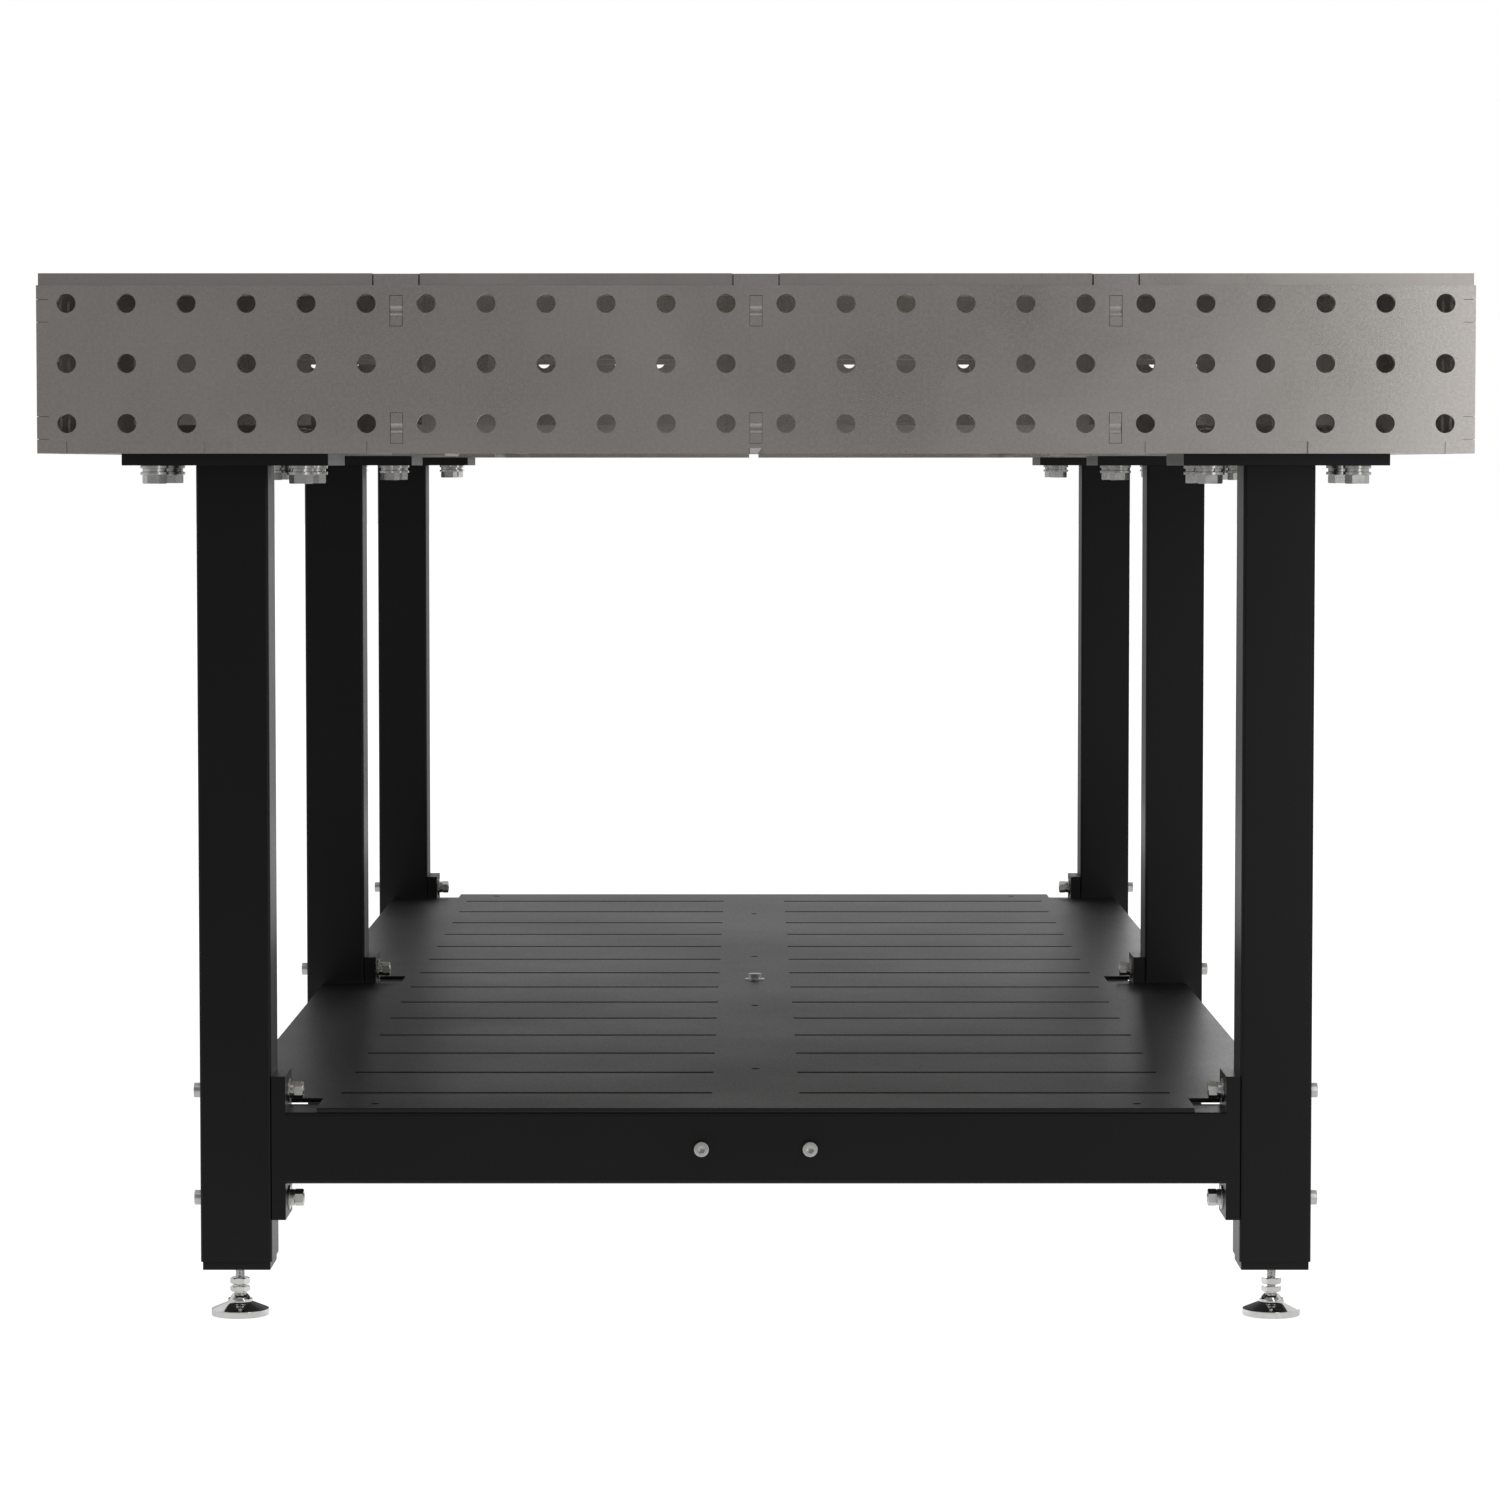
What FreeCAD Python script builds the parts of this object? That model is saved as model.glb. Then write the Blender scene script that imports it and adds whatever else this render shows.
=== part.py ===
import FreeCAD, Part
import Sketcher
import os
import re

# Perforated welding table on six legs, with a lower shelf and six ball-jointed levelling feet.
# Millimetres. X is the width, Y the length and Z is up; the origin is on the floor under the centre.

SIZES = {
    # Whole table and its perforated frame
    "table_width": 1200,
    "table_length": 2400,
    "table_height": 900,
    "frame_depth": 150,
    "plate": 10,
    "top_inset": 1.5,
    # Grid of clamping holes
    "hole_diameter": 16,
    "hole_pitch": 50,
    "columns": 24,
    "rows": 48,
    "side_rows": 3,
    # Tabs, slots and finger joints between the plates
    "tab_width": 37,
    "tab_gap": 1.5,
    "tab_drop": 0.8,
    "rib_pitch": 300,
    "end_ribs": 3,
    "side_ribs": 7,
    "rib_lift": 5,
    "half_lap": 70,
    "slot_height": 25,
    "slot_gap": 0.4,
    "lower_tab": 21.25,
    "upper_tab": 118.75,
    "finger_height": 18.5,
    "groove_radius": 5.75,
    "groove_depth": 2.3,
    "centre_notch_width": 12,
    "centre_notch_height": 4.5,
    # Windows that lighten the ribs, measured from the frame's lower edge
    "window_low": 26,
    "window_high": 116,
    "window_margin": 45,
    "cross_window": 225,
    "cross_window_step": 285,
    # Legs and the plates that bolt them to the frame
    "leg_offset": 450,
    "leg_pitch": 1050,
    "tube": 62,
    "wall": 3,
    "tube_radius": 3,
    "leg_bottom": 50.8,
    "leg_plate_width": 175,
    "leg_bolt_spacing": 125,
    "mount_width": 250,
    "mount_inner": 145,
    "mount_notch_width": 22,
    "mount_notch_depth": 3,
    "cap_width": 58.5,
    "cap_height": 7.1,
    "plug_width": 55.4,
    "plug_height": 12,
    # Beams between the legs
    "beam_centre": 150,
    "flange_height": 125,
    "flange_thickness": 12,
    "flange_bolt_spacing": 94,
    # Shelf sheet
    "shelf_thickness": 4,
    "shelf_half_width": 463,
    "shelf_half_length": 1080,
    "shelf_notch_inner": 380,
    "shelf_notch_half": 38,
    "shelf_slot_inner": 38.5,
    "shelf_slot_outer": 367,
    "shelf_slot_width": 9,
    "shelf_slot_pitch": 150,
    "shelf_slots": 14,
    "shelf_hole_diameter": 8,
    "shelf_hole_near": 257,
    "shelf_hole_far": 797,
    "shelf_corner_hole": 332,
    # M12 bolts through the leg plates
    "big_thread": 12,
    "big_hole": 13,
    "big_across": 18,
    "big_head": 7.5,
    "big_length": 40,
    "big_washer_diameter": 24,
    "big_washer": 2.5,
    "big_spring_diameter": 20.5,
    "big_spring": 3,
    # M8 bolts through the beams
    "small_thread": 8,
    "small_hole": 9,
    "small_across": 13,
    "small_head_diameter": 13,
    "small_head": 8,
    "small_socket": 6,
    "small_socket_depth": 4,
    "small_tail": 0.5,
    "small_washer_diameter": 21,
    "small_washer": 1.6,
    "small_spring_diameter": 14.5,
    "small_spring": 3.5,
    "small_nut": 8,
    "shelf_screw_head": 5.3,
    "shelf_screw_length": 20,
    "thread_gap": 0.05,
    # Levelling feet, measured up from the floor
    "pad_diameter": 50,
    "pad_rim": 5.8,
    "pad_cone": 11.6,
    "pad_collar": 14.5,
    "pad_collar_diameter": 21.6,
    "ball_centre": 11,
    "ball_radius": 9.7,
    "ball_gap": 0.3,
    "foot_hex_across": 15,
    "foot_hex_bottom": 20.6,
    "foot_hex_top": 25.4,
    "lock_nut_bottom": 27.2,
    "lock_nut_height": 5.6,
    "stud_diameter": 8,
    "stud_top": 85,
}

doc = FreeCAD.newDocument("WeldingTable")
sheet = doc.addObject("Spreadsheet::Sheet", "Dimensions")


def fill_sheet():
    """Put each driving size in a cell that carries its name as an alias."""
    for row, (name, size) in enumerate(SIZES.items(), start=1):
        sheet.set(f"A{row}", name)
        sheet.set(f"B{row}", str(size))
        sheet.setAlias(f"B{row}", name)
    doc.recompute()


def expression(text):
    """Turn the plain cell names in a formula into references to the sheet."""
    return re.sub(r"\b[a-z]\w+\b(?!\()", r"Dimensions.\g<0>", text)


def value(text):
    """Number that a formula of cell names gives."""
    return float(sheet.evalExpression(expression(text)))


def bind(feature, prop, text):
    """Bind one property of a feature to a formula of cell names."""
    feature.setExpression(prop, expression(text))


def place(feature, x="0", y="0", z="0", turn=0):
    """Turn a feature about Z, then bind its position to the sheet."""
    feature.Placement = FreeCAD.Placement(FreeCAD.Vector(), FreeCAD.Rotation(FreeCAD.Vector(0, 0, 1), turn))
    for axis, text in zip("xyz", (x, y, z)):
        bind(feature, f"Placement.Base.{axis}", text)


# ---------------------------------------------------------------- sketches and features of a body

def make_body(label, **position):
    """Empty body with its place in the table."""
    body = doc.addObject("PartDesign::Body", label)
    body.Label = label
    place(body, **position)
    return body


def sketch_on(body, role, offset="0"):
    """Sketch on one of the body's own origin planes, moved along that plane's normal."""
    sketch = body.newObject("Sketcher::SketchObject", "Sketch")
    plane = next(item for item in body.Origin.OriginFeatures if item.Role == role)
    sketch.AttachmentSupport = (plane, [""])
    sketch.MapMode = "FlatFace"
    bind(sketch, "AttachmentOffset.Base.z", offset)
    return sketch


def fix_point(sketch, geometry, position, x, y):
    """Hold a point of the sketch at bound distances from the sketch's origin."""
    for kind, text in (("DistanceX", x), ("DistanceY", y)):
        constraint = Sketcher.Constraint(kind, -1, 1, geometry, position, value(text))
        index = sketch.addConstraint(constraint)
        bind(sketch, f"Constraints[{index}]", text)


def rectangle(sketch, left, right, bottom, top):
    """Rectangle whose four sides are bound to the sheet."""
    corners = [(left, bottom), (right, bottom), (right, top), (left, top)]
    points = [FreeCAD.Vector(value(x), value(y), 0) for x, y in corners]
    first = sketch.GeometryCount
    for index in range(4):
        sketch.addGeometry(Part.LineSegment(points[index], points[(index + 1) % 4]), False)
    for index in range(4):
        following = first + (index + 1) % 4
        sketch.addConstraint(Sketcher.Constraint("Coincident", first + index, 2, following, 1))
        direction = "Vertical" if index % 2 else "Horizontal"
        sketch.addConstraint(Sketcher.Constraint(direction, first + index))
    fix_point(sketch, first, 1, left, bottom)
    fix_point(sketch, first + 2, 1, right, top)


def mirrored_rectangles(sketch, left, right, bottom, top):
    """The same rectangle on both sides of the sketch's vertical axis."""
    rectangle(sketch, left, right, bottom, top)
    rectangle(sketch, f"-({right})", f"-({left})", bottom, top)


def circle(sketch, x, y, diameter):
    """Circle with a bound centre and diameter."""
    centre = FreeCAD.Vector(value(x), value(y), 0)
    outline = Part.Circle(centre, FreeCAD.Vector(0, 0, 1), value(diameter) / 2)
    index = sketch.addGeometry(outline, False)
    fix_point(sketch, index, 3, x, y)
    datum = sketch.addConstraint(Sketcher.Constraint("Diameter", index, value(diameter)))
    bind(sketch, f"Constraints[{datum}]", diameter)


def pad(body, sketch, length, centred=False):
    """Pad a sketch, to one side or evenly to both."""
    feature = body.newObject("PartDesign::Pad", "Pad")
    feature.Profile = sketch
    feature.Midplane = centred
    bind(feature, "Length", length)
    return feature


def pocket(body, sketch):
    """Cut a sketch right through the body, both ways from the sketch's plane."""
    feature = body.newObject("PartDesign::Pocket", "Pocket")
    feature.Profile = sketch
    feature.Type = "ThroughAll"
    feature.Midplane = True
    return feature


def repeat(body, feature, along, length, count, up_length=None, up_count=None):
    """Repeat a feature along one axis of its sketch, and along the other where it is given."""
    pattern = body.newObject("PartDesign::LinearPattern", "Pattern")
    pattern.Originals = [feature]
    sketch = feature.Profile[0]
    pattern.Direction = (sketch, [along])
    bind(pattern, "Length", length)
    bind(pattern, "Occurrences", count)
    if up_length:
        pattern.Direction2 = (sketch, ["V_Axis" if along == "H_Axis" else "H_Axis"])
        bind(pattern, "Length2", up_length)
        bind(pattern, "Occurrences2", up_count)
    body.Tip = pattern
    return pattern


# ---------------------------------------------------------------- perforated plates and ribs

def cut_grid(body, role, columns, rows, first_row):
    """Clamping holes on the grid, centred across the sketch's X axis."""
    sketch = sketch_on(body, role)
    circle(sketch, f"-({columns} - 1) / 2 * hole_pitch", first_row, "hole_diameter")
    hole = pocket(body, sketch)
    repeat(body, hole, "H_Axis", f"({columns} - 1) * hole_pitch", columns,
           f"({rows} - 1) * hole_pitch", rows)


def add_top_tabs(body, count):
    """Tabs on a frame plate's upper edge, which come up through the top plate."""
    sketch = sketch_on(body, "XZ_Plane")
    first = f"-({count} - 1) / 2 * rib_pitch"
    rectangle(sketch, f"{first} - tab_width / 2", f"{first} + tab_width / 2",
              "frame_depth - 3 * plate", "frame_depth - tab_drop")
    tab = pad(body, sketch, "plate")
    repeat(body, tab, "H_Axis", f"({count} - 1) * rib_pitch", count)


def cut_rib_slots(body, count):
    """Two slots for the tabs of each rib that meets a frame plate."""
    sketch = sketch_on(body, "XZ_Plane")
    first = f"-({count} - 1) / 2 * rib_pitch"
    rectangle(sketch, f"{first} - plate / 2 - slot_gap", f"{first} + plate / 2 + slot_gap",
              "lower_tab - slot_height / 2 - slot_gap", "lower_tab + slot_height / 2 + slot_gap")
    slot = pocket(body, sketch)
    repeat(body, slot, "H_Axis", f"({count} - 1) * rib_pitch", count, "upper_tab - lower_tab", "2")


def make_end_plate(label, side):
    """Frame plate across one end, notched at the corners for the side plates' fingers."""
    body = make_body(label, y=f"{side} * (table_length / 2 - plate)", z="table_height - frame_depth",
                     turn=0 if side < 0 else 180)
    outline = sketch_on(body, "XZ_Plane")
    rectangle(outline, "-table_width / 2", "table_width / 2", "0", "frame_depth - plate")
    pad(body, outline, "plate")
    add_top_tabs(body, "end_ribs")
    cut_rib_slots(body, "end_ribs")

    corner = sketch_on(body, "XZ_Plane")
    rectangle(corner, "-table_width / 2 - plate", "-table_width / 2 + plate",
              "lower_tab - finger_height / 2 - slot_gap", "lower_tab + finger_height / 2 + slot_gap")
    notch = pocket(body, corner)
    repeat(body, notch, "H_Axis", "table_width", "2", "upper_tab - lower_tab", "2")

    lower_edge = sketch_on(body, "XZ_Plane")
    mirrored_rectangles(lower_edge, "leg_offset - mount_width / 2 - slot_gap",
                        "leg_offset + mount_width / 2 + slot_gap", "-plate", "plate")
    rectangle(lower_edge, "-centre_notch_width / 2", "centre_notch_width / 2",
              "-plate", "centre_notch_height")
    pocket(body, lower_edge)
    cut_grid(body, "XZ_Plane", "columns", "side_rows", "hole_pitch / 2")
    return body


def make_side_plate(label, side):
    """Frame plate along one side, with fingers that come out through the end plates."""
    body = make_body(label, x=f"{side} * (table_width / 2 - plate)", z="table_height - frame_depth",
                     turn=90 * side)
    outline = sketch_on(body, "XZ_Plane")
    rectangle(outline, "-table_length / 2 + plate", "table_length / 2 - plate", "0", "frame_depth - plate")
    pad(body, outline, "plate")

    finger_sketch = sketch_on(body, "XZ_Plane")
    rectangle(finger_sketch, "-table_length / 2", "-table_length / 2 + 2 * plate",
              "lower_tab - finger_height / 2", "lower_tab + finger_height / 2")
    finger = pad(body, finger_sketch, "plate")
    repeat(body, finger, "H_Axis", "table_length - 2 * plate", "2", "upper_tab - lower_tab", "2")
    add_top_tabs(body, "side_ribs")
    cut_rib_slots(body, "side_ribs")
    cut_grid(body, "XZ_Plane", "rows", "side_rows", "hole_pitch / 2")
    return body


def make_rib_blank(label, length, **position):
    """Rib between two frame plates, with two grooved tabs at each end."""
    body = make_body(label, z="table_height - frame_depth", **position)
    outline = sketch_on(body, "XZ_Plane")
    rectangle(outline, f"-{length} / 2 + plate", f"{length} / 2 - plate", "rib_lift", "frame_depth - plate")
    pad(body, outline, "plate", centred=True)

    tab_sketch = sketch_on(body, "XZ_Plane")
    rectangle(tab_sketch, f"-{length} / 2", f"-{length} / 2 + 2 * plate",
              "lower_tab - slot_height / 2", "lower_tab + slot_height / 2")
    tab = pad(body, tab_sketch, "plate", centred=True)
    repeat(body, tab, "H_Axis", f"{length} - 2 * plate", "2", "upper_tab - lower_tab", "2")

    groove_sketch = sketch_on(body, "XZ_Plane")
    circle(groove_sketch, f"-{length} / 2 - groove_radius + groove_depth", "lower_tab", "2 * groove_radius")
    groove = pocket(body, groove_sketch)
    repeat(body, groove, "H_Axis", f"{length} + 2 * groove_radius - 2 * groove_depth", "2",
           "upper_tab - lower_tab", "2")
    return body


def make_long_rib(label, column):
    """Rib along the table, slotted from below where the cross ribs pass."""
    body = make_rib_blank(label, "table_length", x=f"{column} * rib_pitch", turn=90)
    lap = sketch_on(body, "XZ_Plane")
    first = "-(side_ribs - 1) / 2 * rib_pitch"
    rectangle(lap, f"{first} - plate / 2", f"{first} + plate / 2", "0", "half_lap")
    repeat(body, pocket(body, lap), "H_Axis", "(side_ribs - 1) * rib_pitch", "side_ribs")

    window = sketch_on(body, "XZ_Plane")
    rectangle(window, "-(side_ribs + 1) / 2 * rib_pitch + window_margin",
              "-(side_ribs - 1) / 2 * rib_pitch - window_margin", "window_low", "window_high")
    repeat(body, pocket(body, window), "H_Axis", "side_ribs * rib_pitch", "side_ribs + 1")
    return body


def make_cross_rib(label, row):
    """Rib across the table, slotted from above where the long ribs pass."""
    body = make_rib_blank(label, "table_width", y=f"{row} * rib_pitch")
    lap = sketch_on(body, "XZ_Plane")
    rectangle(lap, "-rib_pitch - plate / 2", "-rib_pitch + plate / 2", "half_lap", "frame_depth")
    repeat(body, pocket(body, lap), "H_Axis", "(end_ribs - 1) * rib_pitch", "end_ribs")

    windows = sketch_on(body, "XZ_Plane")
    for start in ("window_margin", "window_margin + cross_window_step"):
        mirrored_rectangles(windows, start, f"{start} + cross_window", "window_low", "window_high")
    pocket(body, windows)
    if row == 0:
        over_mounts = sketch_on(body, "XZ_Plane")
        mirrored_rectangles(over_mounts, "leg_offset - mount_width / 2", "leg_offset + mount_width / 2",
                            "0", "plate")
        pocket(body, over_mounts)
    return body


def make_top_plate():
    """Table top with the whole grid, notched at its edges round the frame plates' tabs."""
    body = make_body("top_plate", z="table_height - plate")
    outline = sketch_on(body, "XY_Plane")
    rectangle(outline, "-table_width / 2 + top_inset", "table_width / 2 - top_inset",
              "-table_length / 2 + top_inset", "table_length / 2 - top_inset")
    pad(body, outline, "plate")

    reach = "(tab_width / 2 + tab_gap)"
    end_notch = sketch_on(body, "XY_Plane")
    first = "-(end_ribs - 1) / 2 * rib_pitch"
    rectangle(end_notch, f"{first} - {reach}", f"{first} + {reach}", "-table_length / 2 - plate",
              "-table_length / 2 + plate + tab_gap")
    repeat(body, pocket(body, end_notch), "H_Axis", "(end_ribs - 1) * rib_pitch", "end_ribs",
           "table_length - 2 * tab_gap", "2")

    side_notch = sketch_on(body, "XY_Plane")
    first = "-(side_ribs - 1) / 2 * rib_pitch"
    rectangle(side_notch, "-table_width / 2 - plate", "-table_width / 2 + plate + tab_gap",
              f"{first} - {reach}", f"{first} + {reach}")
    repeat(body, pocket(body, side_notch), "V_Axis", "(side_ribs - 1) * rib_pitch", "side_ribs",
           "table_width - 2 * tab_gap", "2")
    cut_grid(body, "XY_Plane", "columns", "rows", "-(rows - 1) / 2 * hole_pitch")
    return body


# ---------------------------------------------------------------- legs, beams and shelf

def make_plate_with_bolt_holes(label, half_width, near, far, diameter):
    """Flat plate centred on a leg, with the leg's four bolt holes."""
    body = make_body(label)
    outline = sketch_on(body, "XY_Plane")
    rectangle(outline, f"-{half_width}", half_width, f"-({near})", far)
    pad(body, outline, "plate")
    holes = sketch_on(body, "XY_Plane")
    circle(holes, "-leg_bolt_spacing / 2", "-leg_bolt_spacing / 2", diameter)
    repeat(body, pocket(body, holes), "H_Axis", "leg_bolt_spacing", "2", "leg_bolt_spacing", "2")
    return body


def cut_mount_notch(body, near):
    """Shallow recess in the middle of an end mount plate's outer end."""
    slot = sketch_on(body, "XY_Plane")
    rectangle(slot, "-mount_notch_width / 2", "mount_notch_width / 2",
              f"-({near}) - plate", f"-({near}) + mount_notch_depth")
    pocket(body, slot)


def make_tube(label, role, length, **position):
    """Square tube, centred on the body's origin, with rounded corners."""
    body = make_body(label, **position)
    outline = sketch_on(body, role)
    rectangle(outline, "-tube / 2", "tube / 2", "-tube / 2", "tube / 2")
    block = pad(body, outline, length, centred=True)
    doc.recompute()
    long_edges = [f"Edge{index}" for index, edge in enumerate(block.Shape.Edges, start=1)
                  if edge.Length > value("2 * tube")]
    fillet = body.newObject("PartDesign::Fillet", "Fillet")
    fillet.Base = (block, long_edges)
    bind(fillet, "Radius", "tube_radius")
    hollow = sketch_on(body, role)
    rectangle(hollow, "-tube / 2 + wall", "tube / 2 - wall", "-tube / 2 + wall", "tube / 2 - wall")
    pocket(body, hollow)
    return body


def drill(body, role, places, diameter):
    """Round holes right through a body."""
    sketch = sketch_on(body, role)
    for x, y in places:
        circle(sketch, x, y, diameter)
    pocket(body, sketch)


def make_leg(label, side, row):
    """Leg tube with the holes for its cross beam's bolts."""
    top = "table_height - frame_depth - plate"
    body = make_tube(label, "XY_Plane", f"{top} - leg_bottom", x=f"{side} * leg_offset",
                     y=f"{row} * leg_pitch", z=f"({top} + leg_bottom) / 2")
    middle = f"({top} + leg_bottom) / 2"
    heights = [f"beam_centre + {step} * flange_bolt_spacing / 2 - {middle}" for step in (-1, 1)]
    drill(body, "YZ_Plane", [("0", height) for height in heights], "small_hole")
    return body


def make_cross_beam(label, row):
    """Tube between two legs, drilled for the long beams' bolts."""
    length = "2 * (leg_offset - tube / 2 - flange_thickness)"
    body = make_tube(label, "YZ_Plane", length, y=f"{row} * leg_pitch", z="beam_centre")
    spots = [(f"{side} * flange_bolt_spacing / 2", "0") for side in (-1, 1)]
    drill(body, "XZ_Plane", spots, "small_hole")
    if row == 0:
        drill(body, "XY_Plane", [("0", "0")], "small_thread")
    return body


def make_long_beam(label, side):
    """Tube along the table between two cross beams."""
    length = "leg_pitch - tube - 2 * flange_thickness"
    return make_tube(label, "XZ_Plane", length, y=f"{side} * leg_pitch / 2", z="beam_centre")


def make_flange():
    """End flange of a beam, lying flat, with a bolt hole near each end."""
    body = make_body("flange_pattern")
    outline = sketch_on(body, "XY_Plane")
    rectangle(outline, "-tube / 2", "tube / 2", "-flange_height / 2", "flange_height / 2")
    pad(body, outline, "flange_thickness")
    drill(body, "XY_Plane", [("0", f"{side} * flange_bolt_spacing / 2") for side in (-1, 1)], "small_hole")
    return body


def make_cap():
    """Plate and plug that close a leg's lower end and hold the foot's stud."""
    body = make_body("cap_pattern")
    for width, start, length in (("cap_width", "0", "cap_height"), ("plug_width", "cap_height", "plug_height")):
        sketch = sketch_on(body, "XY_Plane", start)
        rectangle(sketch, f"-{width} / 2", f"{width} / 2", f"-{width} / 2", f"{width} / 2")
        pad(body, sketch, length)
    drill(body, "XY_Plane", [("0", "0")], "stud_diameter + 2 * thread_gap")
    return body


def make_shelf():
    """Sheet shelf, notched round the legs and slotted across."""
    body = make_body("shelf", z="beam_centre + tube / 2")
    outline = sketch_on(body, "XY_Plane")
    rectangle(outline, "-shelf_half_width", "shelf_half_width", "-shelf_half_length", "shelf_half_length")
    pad(body, outline, "shelf_thickness")

    notches = sketch_on(body, "XY_Plane")
    mirrored_rectangles(notches, "shelf_notch_inner", "shelf_half_width + plate",
                        "-leg_pitch - shelf_notch_half", "-leg_pitch + shelf_notch_half")
    repeat(body, pocket(body, notches), "V_Axis", "2 * leg_pitch", "3")

    slots = sketch_on(body, "XY_Plane")
    first = "-(shelf_slots - 1) / 2 * shelf_slot_pitch"
    mirrored_rectangles(slots, "shelf_slot_inner", "shelf_slot_outer",
                        f"{first} - shelf_slot_width / 2", f"{first} + shelf_slot_width / 2")
    repeat(body, pocket(body, slots), "V_Axis", "(shelf_slots - 1) * shelf_slot_pitch", "shelf_slots")

    spots = [("0", "0")]
    for end in (-1, 1):
        spots += [("0", f"{end} * shelf_hole_near"), ("0", f"{end} * shelf_hole_far")]
        spots += [(f"{side} * shelf_corner_hole", f"{end} * leg_pitch") for side in (-1, 1)]
    drill(body, "XY_Plane", spots, "shelf_hole_diameter")
    return body


# ---------------------------------------------------------------- fasteners and feet

def cylinder(radius, height, bottom="0"):
    """Upright cylinder bound to the sheet."""
    feature = doc.addObject("Part::Cylinder", "Cylinder")
    bind(feature, "Radius", radius)
    bind(feature, "Height", height)
    place(feature, z=bottom)
    return feature


def hexagon(across, height, bottom="0"):
    """Upright hexagonal prism, given across its flats."""
    feature = doc.addObject("Part::Prism", "Hexagon")
    feature.Polygon = 6
    bind(feature, "Circumradius", f"{across} / sqrt(3)")
    bind(feature, "Height", height)
    place(feature, z=bottom)
    return feature


def join(label, *pieces):
    """Fuse overlapping or touching primitives into one piece."""
    feature = doc.addObject("Part::MultiFuse", label)
    feature.Shapes = list(pieces)
    feature.Label = label
    return feature


def subtract(label, base, tool):
    """Cut one primitive from another."""
    feature = doc.addObject("Part::Cut", label)
    feature.Base = base
    feature.Tool = tool
    feature.Label = label
    return feature


def make_washer(label, diameter, height, bore):
    """Flat ring."""
    return subtract(label, cylinder(f"{diameter} / 2", height), cylinder(f"{bore} / 2", height))


def make_spring_washer(label, diameter, height, bore):
    """Split ring."""
    slit = doc.addObject("Part::Box", "Slit")
    bind(slit, "Length", diameter)
    bind(slit, "Width", "small_washer")
    bind(slit, "Height", height)
    return subtract(label, make_washer(label + "_ring", diameter, height, bore), slit)


def make_bolt(label, across, head, thread, length):
    """Hexagon bolt with its head below and its shank pointing up from the origin."""
    return join(label, hexagon(across, head, f"-({head})"),
                cylinder(f"{thread} / 2 - thread_gap", length))


def make_socket_bolt(label, length):
    """Cylinder-head bolt with a hexagon socket, its head below the origin."""
    head = cylinder("small_head_diameter / 2", "small_head", "-small_head")
    solid = join(label + "_solid", head, cylinder("small_thread / 2 - thread_gap", length))
    return subtract(label, solid, hexagon("small_socket", "small_socket_depth", "-small_head"))


def make_foot_pad(label, **position):
    """Round foot with the socket of the ball joint in it."""
    rim = cylinder("pad_diameter / 2", "pad_rim")
    cone = doc.addObject("Part::Cone", "Cone")
    bind(cone, "Radius1", "pad_diameter / 2")
    bind(cone, "Radius2", "pad_collar_diameter / 2")
    bind(cone, "Height", "pad_cone - pad_rim")
    place(cone, z="pad_rim")
    collar = cylinder("pad_collar_diameter / 2", "pad_collar - pad_cone", "pad_cone")
    socket = doc.addObject("Part::Sphere", "Socket")
    bind(socket, "Radius", "ball_radius + ball_gap")
    place(socket, z="ball_centre")
    pad_piece = subtract(label, join(label + "_solid", rim, cone, collar), socket)
    place(pad_piece, **position)


def make_foot_screw(label, **position):
    """Stud with its spanner hexagon and the ball that the pad turns on."""
    ball = doc.addObject("Part::Sphere", "Ball")
    bind(ball, "Radius", "ball_radius")
    place(ball, z="ball_centre")
    hexed = hexagon("foot_hex_across", "foot_hex_top - foot_hex_bottom", "foot_hex_bottom")
    stud = cylinder("stud_diameter / 2", "stud_top - ball_centre", "ball_centre")
    place(join(label, ball, hexed, stud), **position)


def make_lock_nut(label, **position):
    """Nut that locks the stud against the cap."""
    nut = subtract(label, hexagon("foot_hex_across", "lock_nut_height", "lock_nut_bottom"),
                   cylinder("stud_diameter / 2 + thread_gap", "lock_nut_height", "lock_nut_bottom"))
    place(nut, **position)


def copy_group(label, copies):
    """Separate copies of pattern pieces in one node: (pattern, origin, direction of its Z)."""
    shapes = []
    for pattern, origin, direction in copies:
        piece = pattern.Shape.copy()
        piece.Placement = FreeCAD.Placement(origin, direction).multiply(piece.Placement)
        shapes.append(piece)
    group = doc.addObject("Part::Feature", label)
    group.Label = label
    group.Shape = Part.makeCompound(shapes)
    return group


def facing(x, y, z):
    """Rotation that turns a piece's own Z to a direction."""
    return FreeCAD.Rotation(FreeCAD.Vector(0, 0, 1), FreeCAD.Vector(x, y, z))


SIDES = {"left": -1, "right": 1}
LEG_ROWS = {"front": -1, "middle": 0, "rear": 1}
UPRIGHT = FreeCAD.Rotation()


def make_frame():
    """Top plate, frame plates and ribs."""
    make_top_plate()
    make_end_plate("front_end_plate", -1)
    make_end_plate("rear_end_plate", 1)
    for name, side in SIDES.items():
        make_side_plate(f"{name}_side_plate", side)
    for name, column in (("left", -1), ("center", 0), ("right", 1)):
        make_long_rib(f"{name}_long_rib", column)
    for number, row in enumerate(range(-3, 4), start=1):
        make_cross_rib(f"cross_rib_{number}", row)


def make_legs_and_beams():
    """Leg tubes, beams, shelf and feet."""
    for row_name, row in LEG_ROWS.items():
        make_cross_beam(f"{row_name}_cross_beam", row)
        for side_name, side in SIDES.items():
            corner = f"{row_name}_{side_name}"
            spot = {"x": f"{side} * leg_offset", "y": f"{row} * leg_pitch"}
            make_leg(f"leg_{corner}", side, row)
            make_foot_pad(f"foot_pad_{corner}", **spot)
            make_foot_screw(f"foot_screw_{corner}", **spot)
            make_lock_nut(f"foot_nut_{corner}", **spot)
    make_long_beam("front_long_beam", -1)
    make_long_beam("rear_long_beam", 1)
    make_shelf()


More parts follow.
